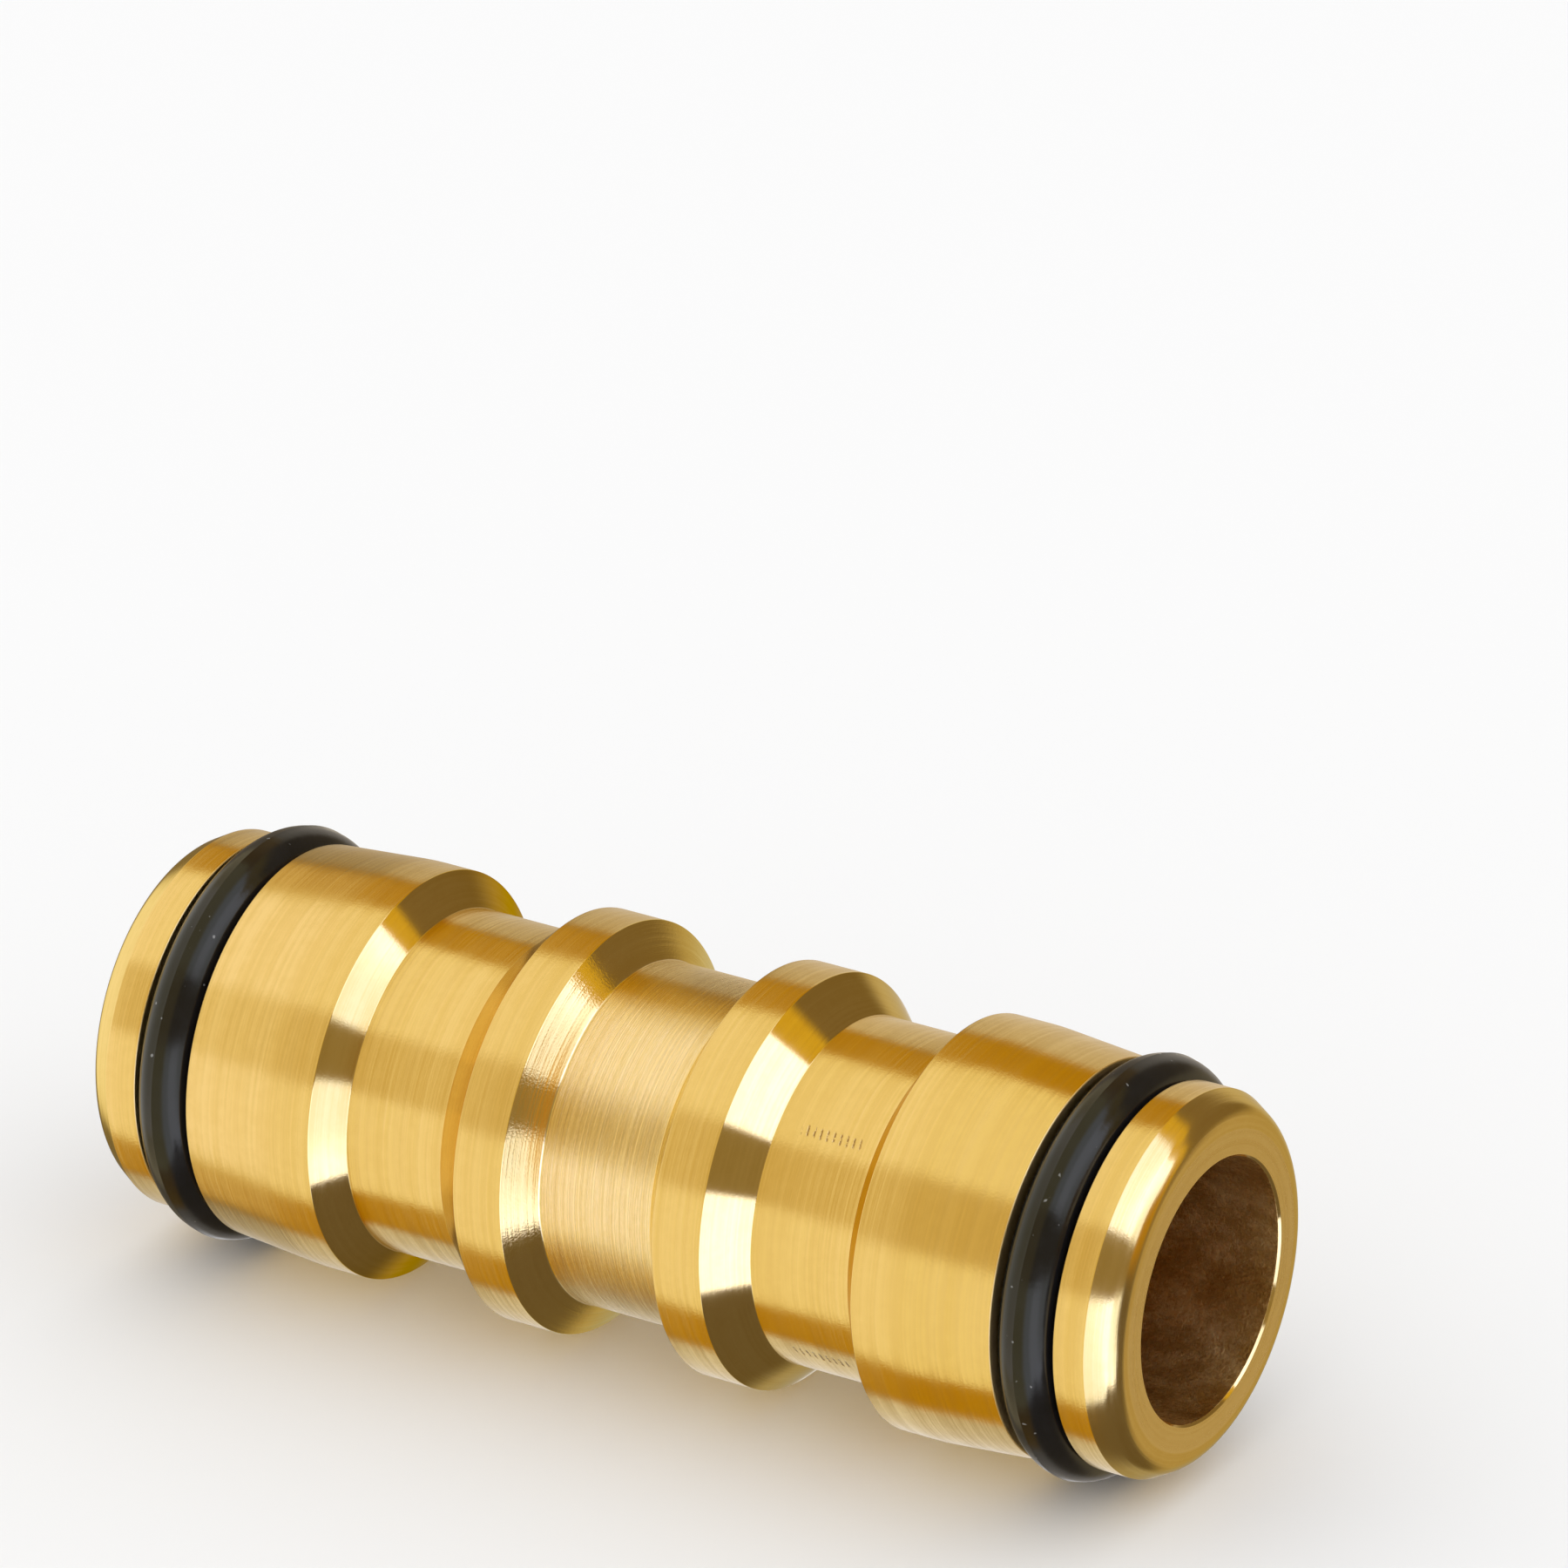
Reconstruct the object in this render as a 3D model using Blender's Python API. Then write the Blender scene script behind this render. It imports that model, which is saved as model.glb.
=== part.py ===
"""Straight male-to-male snap coupler for garden hose connectors, lying on its side.

A one-piece turned brass body with a through bore carries one O-ring near each end.
The body's axis is +X; the part rests on its two O-rings with the floor at z = 0.
All lengths are metres.
"""

import math

import bmesh
import bpy

MM = 0.001

# Axial stations of the turned profile, measured from the middle of the body.
X_MID_NECK = 2.60 * MM
X_RIDGE_INNER = 3.55 * MM
X_RIDGE_OUTER = 5.73 * MM
X_LOCK_INNER = 7.25 * MM
X_LOCK_OUTER = 11.71 * MM
X_SHOULDER = 12.67 * MM
X_TAPER = 14.60 * MM
X_GROOVE_INNER = 18.77 * MM
X_GROOVE_OUTER = 21.41 * MM
X_NOSE_LAND = 22.80 * MM

# Radii of the turned profile.
R_MID_NECK = 7.10 * MM
R_RIDGE = 8.54 * MM
R_LOCK = 7.14 * MM
R_BARREL = 8.50 * MM
R_BARREL_TIP = 8.16 * MM
R_GROOVE = 6.20 * MM
R_NOSE = 7.88 * MM
R_END_FACE = 6.50 * MM
R_BORE = 5.40 * MM
NOSE_ROUND = 1.20 * MM
BORE_CHAMFER = 0.10 * MM
EDGE_BREAK = 0.08 * MM
X_END = X_NOSE_LAND + NOSE_ROUND

# O-rings.
RING_SECTION = 2.20 * MM
R_RING_OUTER = 8.66 * MM

# Facets: round the axis, along the nose round, round an O-ring's section.
SEGMENTS = 64
ROUND_STEPS = 6
RING_STEPS = 16
SHARP_ANGLE = math.radians(18.0)

# Height of the axis: the lowest O-ring facet lies flat on the floor.
AXIS_Z = R_RING_OUTER * math.cos(math.pi / SEGMENTS)

# Colour, roughness and metallic value of each material.
BRASS = ((0.69, 0.43, 0.13, 1.0), 0.28, 1.0)
NITRILE = ((0.012, 0.012, 0.013, 1.0), 0.45, 0.0)


def clear_scene():
    """Remove every object already in the scene."""
    for obj in list(bpy.data.objects):
        bpy.data.objects.remove(obj, do_unlink=True)


def make_material(name, finish):
    """One Principled material per sub-part."""
    colour, roughness, metallic = finish
    material = bpy.data.materials.new(name)
    material.use_nodes = True
    shader = material.node_tree.nodes["Principled BSDF"]
    shader.inputs["Base Color"].default_value = colour
    shader.inputs["Roughness"].default_value = roughness
    shader.inputs["Metallic"].default_value = metallic
    material.diffuse_color = colour
    return material


def nose_round():
    """Arc that turns the nose cone into the end face; its centre lies below the land's end."""
    cone_angle = math.acos(NOSE_ROUND / (R_NOSE - R_END_FACE))
    points = []
    for i in range(ROUND_STEPS + 1):
        angle = cone_angle + (0.5 * math.pi - cone_angle) * i / ROUND_STEPS
        x = X_NOSE_LAND + NOSE_ROUND * math.sin(angle)
        r = R_END_FACE + NOSE_ROUND * math.cos(angle)
        points.append((x, r))
    return points


def half_profile():
    """Outer profile of the +X half, from the middle to the bore mouth."""
    points = [
        (X_MID_NECK, R_MID_NECK),
        (X_RIDGE_INNER, R_RIDGE - EDGE_BREAK),
        (X_RIDGE_INNER + EDGE_BREAK, R_RIDGE),
        (X_RIDGE_OUTER - EDGE_BREAK, R_RIDGE),
        (X_RIDGE_OUTER, R_RIDGE - EDGE_BREAK),
        (X_LOCK_INNER, R_LOCK),
        (X_LOCK_OUTER, R_LOCK),
        (X_SHOULDER, R_BARREL - EDGE_BREAK),
        (X_SHOULDER + EDGE_BREAK, R_BARREL),
        (X_TAPER, R_BARREL),
        (X_GROOVE_INNER - EDGE_BREAK, R_BARREL_TIP),
        (X_GROOVE_INNER, R_BARREL_TIP - EDGE_BREAK),
        (X_GROOVE_INNER, R_GROOVE),
        (X_GROOVE_OUTER, R_GROOVE),
        (X_GROOVE_OUTER, R_NOSE - EDGE_BREAK),
        (X_GROOVE_OUTER + EDGE_BREAK, R_NOSE),
        (X_NOSE_LAND, R_NOSE),
    ]
    points += nose_round()
    points += [
        (X_END, R_BORE + BORE_CHAMFER),
        (X_END - BORE_CHAMFER, R_BORE),
    ]
    return points


def body_profile():
    """Closed section of the body: right half, then the mirrored left half."""
    right = half_profile()
    left = [(-x, r) for x, r in reversed(right)]
    return right + left


def ring_profile(x_centre):
    """Round O-ring section, with flats where it faces the floor and the groove."""
    half = 0.5 * RING_SECTION
    points = []
    for i in range(RING_STEPS):
        angle = 2.0 * math.pi * (i + 0.5) / RING_STEPS
        scale = half / math.cos(math.pi / RING_STEPS)
        x = x_centre - scale * math.sin(angle)
        r = R_RING_OUTER - half + scale * math.cos(angle)
        points.append((x, r))
    return points


def revolve(name, profile, material):
    """Turn a closed (x, radius) section about the coupler's axis."""
    mesh_builder = bmesh.new()
    rows = []
    for step in range(SEGMENTS):
        angle = 2.0 * math.pi * (step + 0.5) / SEGMENTS
        row = []
        for x, r in profile:
            y = r * math.sin(angle)
            z = AXIS_Z - r * math.cos(angle)
            row.append(mesh_builder.verts.new((x, y, z)))
        rows.append(row)
    count = len(profile)
    for step in range(SEGMENTS):
        here = rows[step]
        there = rows[(step + 1) % SEGMENTS]
        for i in range(count):
            j = (i + 1) % count
            mesh_builder.faces.new((here[i], here[j], there[j], there[i]))
    bmesh.ops.recalc_face_normals(mesh_builder, faces=mesh_builder.faces)
    mesh = bpy.data.meshes.new(name)
    mesh_builder.to_mesh(mesh)
    mesh_builder.free()
    mesh.materials.append(material)
    mesh.shade_smooth()
    mesh.set_sharp_from_angle(angle=SHARP_ANGLE)
    obj = bpy.data.objects.new(name, mesh)
    bpy.context.scene.collection.objects.link(obj)
    return obj


def build_body():
    """The turned brass body."""
    material = make_material("brass_body", BRASS)
    return revolve("coupler_body", body_profile(), material)


def build_rings():
    """The two nitrile O-rings, one centred in each groove."""
    centre = 0.5 * (X_GROOVE_INNER + X_GROOVE_OUTER)
    for name, x in (("o_ring_left", -centre), ("o_ring_right", centre)):
        material = make_material(name + "_nitrile", NITRILE)
        revolve(name, ring_profile(x), material)


def main():
    """Build the coupler."""
    clear_scene()
    build_body()
    build_rings()


main()
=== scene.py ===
"""Looks for the straight male-to-male hose coupler: turned brass body and two nitrile O-rings.

Lengths below are millimetres along and around the coupler's axis; MM turns them into metres.
The body's section is turned about the axis that the CAD body's box gives.
"""
import math

import bmesh
import bpy
from mathutils import Matrix, Vector


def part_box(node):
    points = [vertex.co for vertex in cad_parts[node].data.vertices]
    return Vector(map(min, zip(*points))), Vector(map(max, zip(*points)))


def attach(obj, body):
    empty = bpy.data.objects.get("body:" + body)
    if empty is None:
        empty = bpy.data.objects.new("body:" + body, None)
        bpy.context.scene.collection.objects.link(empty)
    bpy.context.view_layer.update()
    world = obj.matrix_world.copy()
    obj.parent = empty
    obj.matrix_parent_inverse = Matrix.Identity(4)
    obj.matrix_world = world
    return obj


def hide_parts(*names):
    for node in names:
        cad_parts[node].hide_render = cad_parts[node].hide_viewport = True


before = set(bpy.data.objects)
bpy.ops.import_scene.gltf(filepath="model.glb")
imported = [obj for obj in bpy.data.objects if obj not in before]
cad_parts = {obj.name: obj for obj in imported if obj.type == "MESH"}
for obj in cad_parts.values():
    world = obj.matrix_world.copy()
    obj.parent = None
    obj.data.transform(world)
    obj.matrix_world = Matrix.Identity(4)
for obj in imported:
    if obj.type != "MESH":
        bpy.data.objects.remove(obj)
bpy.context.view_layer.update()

MM = 0.001

BODY_LOW, BODY_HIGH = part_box("coupler_body")
AXIS_Z = 0.5 * (BODY_LOW.z + BODY_HIGH.z) / MM
HALF_LENGTH = BODY_HIGH.x / MM

TURNS = 256
RING_TURNS = 256
SHARP_ANGLE = math.radians(28.0)

# A corner's arc takes at most this share of the shorter line beside it.
CORNER_SHARE = 0.49
CORNER_STEP = math.radians(6.0)
TINY = 1e-9

# Finishes of the turned body, in material slot order.
SATIN, NECK, RIDGE, SHOULDER, TURNED, PALE, NOSE, LIP, FACE, BORE, GROOVE = range(11)

GROOVE_INNER = 18.77
GROOVE_OUTER = 21.41

# Half section from the middle to the bore mouth: station, radius, corner radius and
# the finish of the surface that leads to the next point.
HALF_SECTION = [
    (2.60, 7.10, 0.10, TURNED),
    (3.55, 8.54, 0.07, SATIN),
    (5.73, 8.54, 0.05, RIDGE),
    (7.25, 7.14, 0.06, NECK),
    (11.71, 7.14, 0.05, SHOULDER),
    (12.67, 8.50, 0.07, SATIN),
    (14.60, 8.50, 9.00, SATIN),
    (GROOVE_INNER, 8.16, 0.06, GROOVE),
    (GROOVE_INNER, 6.20, 0.20, GROOVE),
    (GROOVE_OUTER, 6.20, 0.20, GROOVE),
    (GROOVE_OUTER, 7.88, 0.06, SATIN),
    (22.80, 7.88, 0.05, NOSE),
    (HALF_LENGTH, 7.20, 1.20, FACE),
    (HALF_LENGTH, 5.50, 0.03, LIP),
    (HALF_LENGTH - 0.10, 5.40, 0.03, BORE),
]

RING_CENTRE = 0.5 * (GROOVE_INNER + GROOVE_OUTER)
RING_SECTION = 2.32
RING_POINTS = 48
FLASH_HEIGHT = 0.03
FLASH_WIDTH = 0.07

# Camera: direction it looks from, and where the coupler's centre sits off the axis of view.
CAMERA_AZIMUTH = 31.62
CAMERA_ELEVATION = 24.76
CAMERA_RIGHT = 3.746
CAMERA_UP = 14.520
CAMERA_DISTANCE = 519.8
FRAME_HEIGHT = 62.56
SENSOR = 36.0
CLIP_NEAR = 0.01
CLIP_FAR = 20.0


# ---------------------------------------------------------------- geometry


def round_corners(points):
    """Replace each corner of an outline by an arc of its own radius.

    points holds (x, r, corner radius, finish); the result holds (x, r, finish). An arc has
    the finish of the surface after it, except that the arc into an end face keeps the finish
    of the surface before it."""
    outline = []
    previous = points[-1:] + points[:-1]
    following = points[1:] + points[:1]
    for before, corner, after in zip(previous, points, following):
        here = Vector(corner[:2])
        line_in = here - Vector(before[:2])
        line_out = Vector(after[:2]) - here
        into = line_in.normalized()
        turn = into.angle_signed(line_out.normalized())
        half_turn = math.tan(0.5 * abs(turn))
        room = CORNER_SHARE * min(line_in.length, line_out.length)
        tangent = min(corner[2] * half_turn, room)
        radius = tangent / max(half_turn, TINY)
        side = Vector((into.y, -into.x)) if turn > 0.0 else Vector((-into.y, into.x))
        start = here - into * tangent
        centre = start + side * radius
        steps = max(2, math.ceil(abs(turn) / CORNER_STEP))
        arc_finish = before[3] if corner[3] == FACE else corner[3]
        for i in range(steps + 1):
            point = centre + Matrix.Rotation(-turn * i / steps, 2) @ (start - centre)
            finish = corner[3] if i == steps else arc_finish
            outline.append((point.x, point.y, finish))
    return outline


def body_outline():
    """Closed outline of the body's section, right half and its mirror image."""
    left = []
    for i in range(len(HALF_SECTION) - 1, -1, -1):
        x, r, corner, _ = HALF_SECTION[i]
        finish = HALF_SECTION[i - 1][3] if i > 0 else PALE
        left.append((-x, r, corner, finish))
    return round_corners(HALF_SECTION + left)


def ring_outline(centre):
    """O-ring section with a fine moulding flash along its outside."""
    half = 0.5 * RING_SECTION
    outline = []
    for i in range(RING_POINTS):
        angle = 2.0 * math.pi * i / RING_POINTS
        flash = FLASH_HEIGHT * math.exp(-((half * math.sin(angle) / FLASH_WIDTH) ** 2))
        bump = flash if math.cos(angle) > 0.0 else 0.0
        r = AXIS_Z - FLASH_HEIGHT - half + (half + bump) * math.cos(angle)
        outline.append((centre + half * math.sin(angle), r, 0))
    return outline


def revolve(name, outline, turns):
    """Turn a closed outline about the coupler's axis.

    The mesh keeps each point's distance along the outline, in millimetres, as "along"."""
    builder = bmesh.new()
    along = builder.verts.layers.float.new("along")
    distances = [0.0]
    for a, b in zip(outline, outline[1:]):
        distances.append(distances[-1] + math.hypot(b[0] - a[0], b[1] - a[1]))
    rows = []
    for turn in range(turns):
        angle = 2.0 * math.pi * turn / turns
        row = []
        for (x, r, _), distance in zip(outline, distances):
            y = r * math.sin(angle)
            z = AXIS_Z - r * math.cos(angle)
            vert = builder.verts.new((x * MM, y * MM, z * MM))
            vert[along] = distance
            row.append(vert)
        rows.append(row)
    for here, there in zip(rows, rows[1:] + rows[:1]):
        for i in range(len(outline)):
            j = (i + 1) % len(outline)
            face = builder.faces.new((here[i], here[j], there[j], there[i]))
            face.material_index = outline[i][2]
            face.smooth = True
    bmesh.ops.recalc_face_normals(builder, faces=builder.faces)
    mesh = bpy.data.meshes.new(name)
    builder.to_mesh(mesh)
    builder.free()
    mesh.set_sharp_from_angle(angle=SHARP_ANGLE)
    piece = bpy.data.objects.new(name, mesh)
    bpy.context.scene.collection.objects.link(piece)
    return piece


# ---------------------------------------------------------------- node helpers


class Nodes:
    """Short names for the nodes that the materials and the world use."""

    def __init__(self, tree):
        self.tree = tree
        self.links = tree.links

    def add(self, kind, **settings):
        node = self.tree.nodes.new(kind)
        for key, value in settings.items():
            setattr(node, key, value)
        return node

    def feed(self, socket, value):
        if isinstance(value, bpy.types.NodeSocket):
            self.links.new(value, socket)
        elif value is not None:
            socket.default_value = value

    def math(self, operation, a, b=None, c=None):
        node = self.add("ShaderNodeMath", operation=operation)
        for socket, value in zip(node.inputs, (a, b, c)):
            self.feed(socket, value)
        return node.outputs[0]

    def smooth(self, value, low, high, to_low=0.0, to_high=1.0):
        node = self.add("ShaderNodeMapRange", interpolation_type="SMOOTHSTEP")
        self.feed(node.inputs["Value"], value)
        self.feed(node.inputs["From Min"], low)
        self.feed(node.inputs["From Max"], high)
        self.feed(node.inputs["To Min"], to_low)
        self.feed(node.inputs["To Max"], to_high)
        return node.outputs["Result"]

    def mix(self, factor, a, b):
        node = self.add("ShaderNodeMix", data_type="RGBA")
        self.feed(node.inputs["Factor"], factor)
        self.feed(node.inputs[6], a)
        self.feed(node.inputs[7], b)
        return node.outputs[2]

    def combine(self, x, y, z):
        node = self.add("ShaderNodeCombineXYZ")
        for socket, value in zip(node.inputs, (x, y, z)):
            self.feed(socket, value)
        return node.outputs[0]

    def noise(self, vector, scale, detail, roughness):
        node = self.add("ShaderNodeTexNoise")
        self.feed(node.inputs["Vector"], vector)
        self.feed(node.inputs["Scale"], scale)
        self.feed(node.inputs["Detail"], detail)
        self.feed(node.inputs["Roughness"], roughness)
        return node.outputs["Fac"]

    def bump(self, height, distance, strength=1.0):
        node = self.add("ShaderNodeBump")
        self.feed(node.inputs["Height"], height)
        self.feed(node.inputs["Distance"], distance)
        self.feed(node.inputs["Strength"], strength)
        return node.outputs[0]

    def place(self):
        """Position in the object's own space, in metres."""
        return self.add("ShaderNodeTexCoord").outputs["Object"]

    def split(self, vector):
        node = self.add("ShaderNodeSeparateXYZ")
        self.feed(node.inputs[0], vector)
        return node.outputs


def new_material(name):
    """An empty Principled material and its node helper."""
    material = bpy.data.materials.new(name)
    material.use_nodes = True
    nodes = Nodes(material.node_tree)
    return material, nodes, material.node_tree.nodes["Principled BSDF"]


def turned_coordinates(nodes):
    """Place on the surface in millimetres: along the outline, across, and up from the axis."""
    _, y, z = nodes.split(nodes.place())
    across = nodes.math("MULTIPLY", y, 1.0 / MM)
    up = nodes.math("MULTIPLY_ADD", z, 1.0 / MM, -AXIS_Z)
    along = nodes.add("ShaderNodeAttribute", attribute_name="along").outputs["Fac"]
    return along, across, up


def turning_lines(nodes, pitch, around):
    """Noise drawn out round the axis, as a lathe tool leaves it; sizes in millimetres."""
    along, across, up = turned_coordinates(nodes)
    vector = nodes.combine(
        nodes.math("DIVIDE", along, pitch),
        nodes.math("DIVIDE", across, around),
        nodes.math("DIVIDE", up, around),
    )
    return nodes.noise(vector, *LINES)


# ---------------------------------------------------------------- materials

# The real body is one alloy. The tones and the edge tints differ between finishes because
# they were tuned until the brass came near the photo from the camera's side: these differences
# are painted light and shade, not the metal's own colour.
BRASS = (0.87, 0.64, 0.24, 1.0)
BRASS_DEEP = (0.815, 0.58, 0.19, 1.0)
# Paler tones for the middle neck: painted light, as the neck is the same alloy as the rest.
BRASS_PALE = (1.0, 0.80, 0.39, 1.0)
BRASS_PALE_DEEP = (0.80, 0.57, 0.215, 1.0)
BRASS_DARK = (0.24, 0.12, 0.02, 1.0)
# Edge tints of some finishes, darker on the shoulders: painted light and shade in the
# reflections at grazing angles.
RIDGE_EDGE = (0.88, 0.82, 0.55, 1.0)
SHOULDER_EDGE = (0.66, 0.50, 0.12, 1.0)
TURNED_EDGE = (1.0, 1.0, 0.66, 1.0)
WHITE = (1.0, 1.0, 1.0, 1.0)
BORE_DEEP = (0.50, 0.275, 0.055, 1.0)
BORE_PALE = (0.93, 0.66, 0.24, 1.0)
NITRILE_DARK = (0.004, 0.004, 0.005, 1.0)
NITRILE_BLACK = (0.010, 0.010, 0.012, 1.0)
DUST = (0.20, 0.20, 0.20, 1.0)
# Warm, because the studio's soft boxes are bluish and the photo's highlights aren't.
NITRILE_EDGE = (1.0, 0.92, 0.54, 1.0)
NITRILE_SPECULAR = 0.42

# Noises: scale, detail and roughness. The lines' scale is set by their pitch instead.
LINES = (1.0, 3.0, 0.6)
MOTTLE = (1.7, 4.0, 0.65)
GRAIN = (9.0, 2.0, 0.6)
BORE_PATCHES = (0.9, 5.0, 0.7)
BORE_SPECKS = (5.0, 4.0, 0.75)
NITRILE_MOTTLE = (900.0, 3.0, 0.6)
NITRILE_DUST = (2600.0, 1.0, 0.5)

# Lathe lines and broader bands: how far each is drawn out round the axis, in millimetres, and
# a band's pitch in pitches of a line.
LINE_LENGTH = 16.0
BAND_LENGTH = 40.0
BAND_PITCH = 5.0

# How strongly the mottle, the grain and the marks act, beside the lines' 1.
MOTTLE_IN_TONE = 0.5
GRAIN_IN_HEIGHT = 0.25
MARKS_IN_TONE = 0.7
MARKS_IN_HEIGHT = -1.5
MOTTLE_IN_ROUGHNESS = 0.25
ROUGHNESS_SPREAD = 0.18

# Chatter marks that the tool left on the +X locking neck: two rows of short dashes.
CHATTER_PITCH = 0.30
CHATTER_SPAN = (8.2, 11.2)
CHATTER_FADE = 0.3
CHATTER_ANGLES = (45.5, -36.5)
CHATTER_ROW_EDGE = (1.0, 2.4)
CHATTER_WOBBLE = 2.0
CHATTER_LEAN = 0.35
CHATTER_DASH_EDGE = (0.45, 0.85)
CHATTER_PATCHES = (0.38, 0.52)


def brass(
    name, pitch, depth, roughness, anisotropy,
    tones=(BRASS_DEEP, BRASS), marks=None, edge=WHITE,
):
    """Turned brass: lines round the axis and a faint mottle, in tone, roughness and bump.

    pitch and depth are the lines' own, in millimetres; edge is the tint at grazing angles."""
    material, nodes, shader = new_material(name)
    lines = turning_lines(nodes, pitch, LINE_LENGTH)
    bands = turning_lines(nodes, BAND_PITCH * pitch, BAND_LENGTH)
    point = nodes.combine(*turned_coordinates(nodes))
    mottle = nodes.noise(point, *MOTTLE)
    grain = nodes.noise(point, *GRAIN)
    mottled = nodes.math("MULTIPLY_ADD", mottle, MOTTLE_IN_TONE, lines)
    tone = nodes.smooth(nodes.math("ADD", bands, mottled), 1.0, 1.5)
    colour = nodes.mix(tone, *tones)
    height = nodes.math("MULTIPLY_ADD", grain, GRAIN_IN_HEIGHT, lines)
    if marks:
        dashes = marks(nodes, grain)
        colour = nodes.mix(nodes.math("MULTIPLY", dashes, MARKS_IN_TONE), colour, BRASS_DARK)
        height = nodes.math("MULTIPLY_ADD", dashes, MARKS_IN_HEIGHT, height)
    nodes.feed(shader.inputs["Base Color"], colour)
    spread = ROUGHNESS_SPREAD * roughness
    share = nodes.math("MULTIPLY", lines, 1.0 - MOTTLE_IN_ROUGHNESS)
    uneven = nodes.math("MULTIPLY_ADD", mottle, MOTTLE_IN_ROUGHNESS, share)
    varied = nodes.smooth(uneven, 0.35, 0.65, roughness + spread, roughness - spread)
    nodes.feed(shader.inputs["Roughness"], varied)
    shader.inputs["Metallic"].default_value = 1.0
    shader.inputs["Specular Tint"].default_value = edge
    shader.inputs["Anisotropic"].default_value = anisotropy
    shader.inputs["Anisotropic Rotation"].default_value = 0.25
    tangent = nodes.add("ShaderNodeTangent", direction_type="RADIAL", axis="X")
    nodes.feed(shader.inputs["Tangent"], tangent.outputs[0])
    nodes.feed(shader.inputs["Normal"], nodes.bump(height, depth * MM))
    return material


def chatter_marks(nodes, grain):
    """Mask of the chatter marks: 1 on a dash."""
    x = nodes.split(nodes.place())[0]
    station = nodes.math("DIVIDE", x, MM)
    _, across, up = turned_coordinates(nodes)
    front = nodes.math("MULTIPLY", across, -1.0)
    angle = nodes.math("DEGREES", nodes.math("ARCTAN2", up, front))
    angle = nodes.math("MULTIPLY_ADD", grain, CHATTER_WOBBLE, angle)
    phase = nodes.math("MULTIPLY", station, 2.0 * math.pi / CHATTER_PITCH)
    lean = nodes.math("MULTIPLY", angle, CHATTER_LEAN)
    wave = nodes.math("SINE", nodes.math("ADD", phase, lean))
    dashes = nodes.smooth(wave, *CHATTER_DASH_EDGE)
    start, end = CHATTER_SPAN
    after_start = nodes.smooth(station, start, start + CHATTER_FADE)
    before_end = nodes.smooth(station, end - CHATTER_FADE, end, 1.0, 0.0)
    inside = nodes.math("MULTIPLY", after_start, before_end)
    rows = None
    for row_angle in CHATTER_ANGLES:
        middle = row_angle + 0.5 * CHATTER_WOBBLE
        off = nodes.math("ABSOLUTE", nodes.math("SUBTRACT", angle, middle))
        row = nodes.smooth(off, *CHATTER_ROW_EDGE, 1.0, 0.0)
        rows = row if rows is None else nodes.math("MAXIMUM", rows, row)
    patchy = nodes.math("MULTIPLY", dashes, nodes.smooth(grain, *CHATTER_PATCHES))
    return nodes.math("MULTIPLY", patchy, nodes.math("MULTIPLY", inside, rows))


def bore_brass():
    """The drilled water way: darker and rougher, with specks and patches."""
    material, nodes, shader = new_material("brass_bore")
    along, across, up = turned_coordinates(nodes)
    drawn_out = nodes.combine(nodes.math("MULTIPLY", along, 0.6), across, up)
    patches = nodes.noise(drawn_out, *BORE_PATCHES)
    specks = nodes.noise(nodes.combine(along, across, up), *BORE_SPECKS)
    tone = nodes.smooth(nodes.math("ADD", patches, specks), 0.88, 1.22)
    nodes.feed(shader.inputs["Base Color"], nodes.mix(tone, BORE_DEEP, BORE_PALE))
    nodes.feed(shader.inputs["Roughness"], nodes.smooth(specks, 0.3, 0.7, 0.5, 0.28))
    shader.inputs["Metallic"].default_value = 1.0
    nodes.feed(shader.inputs["Normal"], nodes.bump(specks, 0.05 * MM, 0.6))
    return material


def nitrile(name):
    """Black O-ring rubber: smooth, faintly mottled, with a few pale specks of dust."""
    material, nodes, shader = new_material(name)
    place = nodes.place()
    mottle = nodes.noise(place, *NITRILE_MOTTLE)
    dust = nodes.smooth(nodes.noise(place, *NITRILE_DUST), 0.74, 0.79)
    black = nodes.mix(mottle, NITRILE_DARK, NITRILE_BLACK)
    nodes.feed(shader.inputs["Base Color"], nodes.mix(dust, black, DUST))
    nodes.feed(shader.inputs["Roughness"], nodes.smooth(mottle, 0.3, 0.7, 0.15, 0.22))
    shader.inputs["Specular IOR Level"].default_value = NITRILE_SPECULAR
    shader.inputs["Specular Tint"].default_value = NITRILE_EDGE
    nodes.feed(shader.inputs["Normal"], nodes.bump(mottle, 0.02 * MM, 0.5))
    return material


def body_materials():
    """The body's finishes, in the order of the finish numbers."""
    # The pale tones and the edge tints below are painted light and shade on the one brass.
    pale = (BRASS_PALE_DEEP, BRASS_PALE)
    return [
        brass("brass_satin", 0.17, 0.012, 0.21, 0.88),
        brass("brass_neck", 0.19, 0.013, 0.20, 0.88, marks=chatter_marks),
        brass("brass_ridge", 0.12, 0.0020, 0.10, 0.6, edge=RIDGE_EDGE),
        brass("brass_shoulder", 0.12, 0.0030, 0.11, 0.6, edge=SHOULDER_EDGE),
        brass("brass_turned", 0.22, 0.017, 0.14, 0.75, edge=TURNED_EDGE),
        brass("brass_pale", 0.20, 0.013, 0.20, 0.88, tones=pale),
        brass("brass_nose", 0.14, 0.005, 0.17, 0.5, edge=RIDGE_EDGE),
        brass("brass_lip", 0.12, 0.0020, 0.10, 0.6),
        brass("brass_face", 0.16, 0.010, 0.24, 0.7),
        bore_brass(),
        brass("brass_groove", 0.2, 0.010, 0.4, 0.3),
    ]


# ---------------------------------------------------------------- stage


FLOOR_WHITE = (0.86, 0.86, 0.86, 1.0)
FLOOR_RADIUS = 6.0
FLOOR_SIDES = 96


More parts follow.
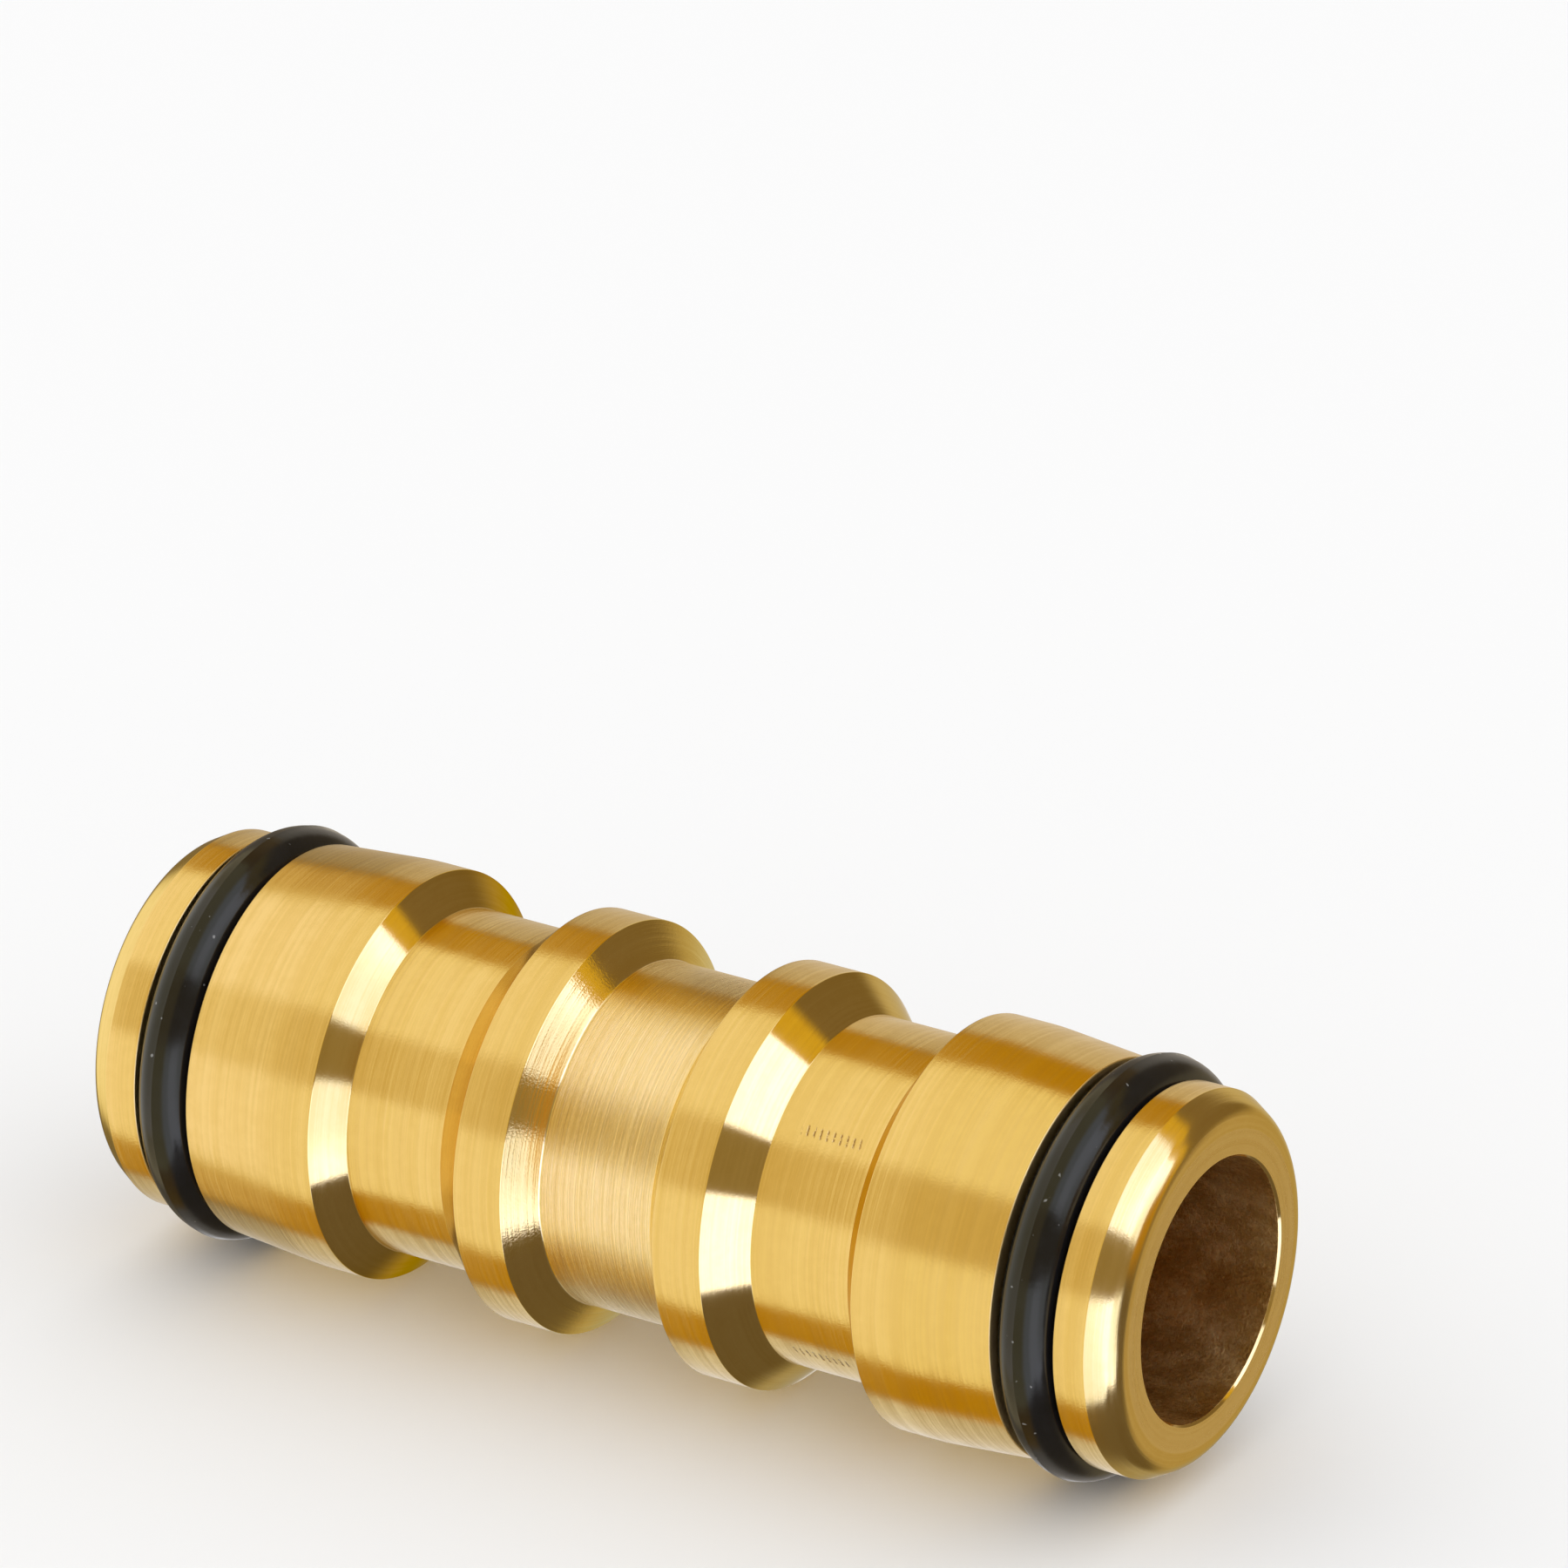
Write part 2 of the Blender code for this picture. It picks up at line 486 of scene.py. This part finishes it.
def floor():
    """A plain pale floor; reflections in the brass come from the studio light alone."""
    mesh = bpy.data.meshes.new("floor")
    builder = bmesh.new()
    bmesh.ops.create_circle(builder, cap_ends=True, segments=FLOOR_SIDES, radius=FLOOR_RADIUS)
    builder.to_mesh(mesh)
    builder.free()
    piece = bpy.data.objects.new("floor", mesh)
    bpy.context.scene.collection.objects.link(piece)
    material, _, shader = new_material("floor_white")
    shader.inputs["Base Color"].default_value = FLOOR_WHITE
    shader.inputs["Roughness"].default_value = 0.9
    shader.inputs["Specular IOR Level"].default_value = 0.1
    mesh.materials.append(material)
    piece.visible_glossy = False


def camera():
    """Long-lens camera at the viewing angle, with the coupler low and left in the frame."""
    azimuth = math.radians(CAMERA_AZIMUTH)
    elevation = math.radians(CAMERA_ELEVATION)
    level = math.cos(elevation)
    back = Vector((math.sin(azimuth) * level, -math.cos(azimuth) * level, math.sin(elevation)))
    right = Vector((math.cos(azimuth), math.sin(azimuth), 0.0))
    up = back.cross(right)
    offset = right * CAMERA_RIGHT + up * CAMERA_UP
    place = Vector((0.0, 0.0, AXIS_Z)) + back * CAMERA_DISTANCE + offset
    data = bpy.data.cameras.new("camera")
    data.sensor_width = SENSOR
    data.lens = SENSOR * CAMERA_DISTANCE / FRAME_HEIGHT
    data.clip_start = CLIP_NEAR
    data.clip_end = CLIP_FAR
    view = bpy.data.objects.new("camera", data)
    turn = Matrix((right, up, back)).transposed().to_4x4()
    view.matrix_world = Matrix.Translation(place * MM) @ turn
    bpy.context.scene.collection.objects.link(view)
    bpy.context.scene.camera = view


# Studio light. A direction is given by its lean towards +X, its front part towards the plane of
# the camera and its side part across that plane; the plane stands MID_ANGLE above the level.
MID_ANGLE = 28.44
SOFTBOX = (1.9, 2.1, 3.6, 1.0)
SOFTBOX_END = (1.35, 1.50, 2.35, 1.0)
GAP = (0.31, 0.24, 0.125, 1.0)
ROOM_UPPER = (0.22, 0.16, 0.08, 1.0)
ROOM_LOWER = (0.16, 0.125, 0.08, 1.0)
ROOM_BACK = (0.52, 0.42, 0.25, 1.0)
WARM_RIGHT = (0.50, 0.28, 0.004, 1.0)
WARM_LEFT = (0.78, 0.66, 0.40, 1.0)
TABLE_RIGHT = (0.95, 0.855, 0.55, 1.0)
TABLE_LEFT = (1.09, 1.01, 0.98, 1.0)
TABLE_FAR_LEFT = (1.08, 1.06, 1.05, 1.0)
TABLE_GAP_RIGHT = (0.68, 0.53, 0.23, 1.0)
TABLE_GAP_LEFT = (0.95, 0.84, 0.62, 1.0)
TABLE_BACK_UPPER_RIGHT = (0.64, 0.57, 0.49, 1.0)
TABLE_BACK_UPPER_MIDDLE = (0.76, 0.67, 0.54, 1.0)
TABLE_BACK_UPPER_LEFT = (0.25, 0.20, 0.14, 1.0)
TABLE_BACK_LOWER_RIGHT = (0.46, 0.42, 0.38, 1.0)
TABLE_BACK_LOWER_MIDDLE = (0.92, 0.91, 0.92, 1.0)
TABLE_BACK_LOWER_LEFT = (0.22, 0.18, 0.12, 1.0)
GLOW = (0.72, 0.50, 0.05, 1.0)
BACKDROP = (0.97, 0.97, 0.97, 1.0)
SOFT_WHITE = (1.13, 1.13, 1.13, 1.0)

# Blends between the studio's areas: where along a part of the direction a blend starts and
# ends, and its values there if they aren't 0 and 1. The areas and colours were tuned until the
# brass came near the photo from the camera's side.
GAP_BASE = 0.10
GAP_SPREAD = 0.235
GAP_BLUR = (-0.2, 0.2, 0.07, 0.025)
EDGE_RISE = (-0.3, 0.2, 0.0, 0.10)
EDGE_FALL = (0.60, 0.87, 0.0, 0.32)
EDGE_RETURN = (0.90, 0.98, 0.0, 0.24)
EDGE_START = -0.02
EDGE_END = (0.88, 0.97, 0.02, 0.10)
UPPER_HALF = (-0.1, 0.1)
TABLE_LEFT_SIDE = (-0.62, -0.42, 1.0, 0.0)
TABLE_FAR_LEFT_SIDE = (-0.90, -0.76, 1.0, 0.0)
BACK_LEFT_SIDE = (-0.59, -0.43, 1.0, 0.0)
BACK_RIGHT_SIDE = (-0.44, -0.34)
WARM_RIGHT_SIDE = (-0.68, -0.48)
WARM_DEPTH = (-0.50, -0.40)
ROOM_BEHIND = (-0.75, -0.55, 1.0, 0.0)
ROOM_BEHIND_SIDES = (0.35, 0.55, 1.0, 0.0)
GLOW_DEPTH = (-0.34, -0.22)
SOFTBOX_START = (0.45, 0.58)
SOFTBOX_STOP = (0.80, 0.92)
ROOM_START = (-0.45, -0.05, -0.16, 0.04)
ROOM_WIDTH = 0.24


def studio_parts(nodes, direction):
    """Lean, front and side parts of a direction."""
    lean, y, z = nodes.split(direction)
    mid = math.radians(MID_ANGLE)
    front_z = nodes.math("MULTIPLY", z, math.sin(mid))
    front = nodes.math("MULTIPLY_ADD", y, -math.cos(mid), front_z)
    side_z = nodes.math("MULTIPLY", z, math.cos(mid))
    side = nodes.math("MULTIPLY_ADD", y, math.sin(mid), side_z)
    return lean, front, side


def gap_mask(nodes, lean, side):
    """0 in the gap between the soft boxes, 1 outside it."""
    across = nodes.math("SQRT", nodes.math("SUBTRACT", 1.0, nodes.math("MULTIPLY", lean, lean)))
    half_gap = nodes.math("MULTIPLY_ADD", across, GAP_SPREAD, GAP_BASE)
    past_gap = nodes.math("SUBTRACT", nodes.math("ABSOLUTE", side), half_gap)
    blur = nodes.smooth(lean, *GAP_BLUR)
    return nodes.smooth(past_gap, nodes.math("MULTIPLY", blur, -1.0), blur)


def past_lit_edge(nodes, lean, front):
    """How far a direction is in front of the back edge of the soft boxes and the lit table."""
    rise = nodes.smooth(lean, *EDGE_RISE)
    fall = nodes.smooth(lean, *EDGE_FALL)
    fall = nodes.math("SUBTRACT", fall, nodes.smooth(lean, *EDGE_RETURN))
    return nodes.math("SUBTRACT", front, nodes.math("SUBTRACT", rise, fall))


def table_colour(nodes, lean, upper, outside_gap, past_edge, lit):
    """The pale table, at the left: lit in front, warm behind its edge, greyer at the back."""
    left = nodes.smooth(lean, *TABLE_LEFT_SIDE)
    in_gap = nodes.mix(left, TABLE_GAP_RIGHT, TABLE_GAP_LEFT)
    table = nodes.mix(outside_gap, in_gap, nodes.mix(left, TABLE_RIGHT, TABLE_LEFT))
    back_left = nodes.smooth(lean, *BACK_LEFT_SIDE)
    back_right = nodes.smooth(lean, *BACK_RIGHT_SIDE)
    halves = []
    for colours in (
        (TABLE_BACK_LOWER_LEFT, TABLE_BACK_LOWER_MIDDLE, TABLE_BACK_LOWER_RIGHT),
        (TABLE_BACK_UPPER_LEFT, TABLE_BACK_UPPER_MIDDLE, TABLE_BACK_UPPER_RIGHT),
    ):
        at_left, at_middle, at_right = colours
        half = nodes.mix(back_right, at_middle, at_right)
        halves.append(nodes.mix(back_left, half, at_left))
    back = nodes.mix(upper, *halves)
    warm = nodes.mix(nodes.smooth(lean, *WARM_RIGHT_SIDE), WARM_LEFT, WARM_RIGHT)
    warm = nodes.mix(nodes.smooth(past_edge, *WARM_DEPTH), back, warm)
    table = nodes.mix(lit, warm, table)
    return nodes.mix(nodes.smooth(lean, *TABLE_FAR_LEFT_SIDE), table, TABLE_FAR_LEFT)


def room_colour(nodes, lean, front, side, upper, outside_gap, past_edge, lit):
    """The soft boxes and their gap, and behind their edge the dim warm room."""
    room = nodes.mix(upper, ROOM_LOWER, ROOM_UPPER)
    off_side = nodes.math("ABSOLUTE", side)
    behind = nodes.math(
        "MULTIPLY", nodes.smooth(front, *ROOM_BEHIND), nodes.smooth(off_side, *ROOM_BEHIND_SIDES)
    )
    room = nodes.mix(behind, room, ROOM_BACK)
    glow = nodes.math("MULTIPLY", nodes.smooth(past_edge, *GLOW_DEPTH), upper)
    glow_colour = nodes.mix(nodes.smooth(lean, *SOFTBOX_STOP), GLOW, WARM_RIGHT)
    room = nodes.mix(glow, room, glow_colour)
    before_stop = nodes.smooth(lean, *SOFTBOX_STOP, 1.0, 0.0)
    middle = nodes.math("MULTIPLY", nodes.smooth(lean, *SOFTBOX_START), before_stop)
    softbox = nodes.mix(middle, SOFTBOX_END, SOFTBOX)
    return nodes.mix(lit, room, nodes.mix(outside_gap, GAP, softbox))


def studio_light():
    """A pale table to the left, two soft boxes with a gap to the right, and a warm room behind.

    Only glossy rays see these. Diffuse rays see a plain white, so that the floor stays
    neutral, and the camera sees a plain backdrop."""
    world = bpy.data.worlds.new("studio")
    bpy.context.scene.world = world
    world.use_nodes = True
    nodes = Nodes(world.node_tree)
    direction = nodes.add("ShaderNodeTexCoord").outputs["Generated"]
    lean, front, side = studio_parts(nodes, direction)
    outside_gap = gap_mask(nodes, lean, side)
    past_edge = past_lit_edge(nodes, lean, front)
    lit = nodes.smooth(past_edge, EDGE_START, nodes.smooth(lean, *EDGE_END))
    upper = nodes.smooth(side, *UPPER_HALF)
    table = table_colour(nodes, lean, upper, outside_gap, past_edge, lit)
    room = room_colour(nodes, lean, front, side, upper, outside_gap, past_edge, lit)
    room_start = nodes.smooth(past_edge, *ROOM_START)
    room_end = nodes.math("ADD", room_start, ROOM_WIDTH)
    colour = nodes.mix(nodes.smooth(lean, room_start, room_end), table, room)
    path = nodes.add("ShaderNodeLightPath").outputs
    colour = nodes.mix(path["Is Diffuse Ray"], colour, SOFT_WHITE)
    colour = nodes.mix(path["Is Camera Ray"], colour, BACKDROP)
    background = world.node_tree.nodes["Background"]
    nodes.feed(background.inputs["Color"], colour)
    # Rays find the world themselves, so each one is told apart by its kind.
    world.cycles.sampling_method = "NONE"
    bpy.context.scene.view_settings.view_transform = "Standard"


# ---------------------------------------------------------------- pieces


def build_body():
    """The turned brass body, in the place of its CAD node."""
    piece = revolve("brass_body", body_outline(), TURNS)
    for material in body_materials():
        piece.data.materials.append(material)
    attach(piece, "root")
    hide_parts("coupler_body")


def build_rings():
    """The two O-rings, one centred in each groove."""
    for side, sign in (("left", -1.0), ("right", 1.0)):
        piece = revolve("nitrile_ring_" + side, ring_outline(sign * RING_CENTRE), RING_TURNS)
        piece.data.materials.append(nitrile("nitrile_" + side))
        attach(piece, "root")
        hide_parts("o_ring_" + side)


build_body()
build_rings()
floor()
studio_light()
camera()
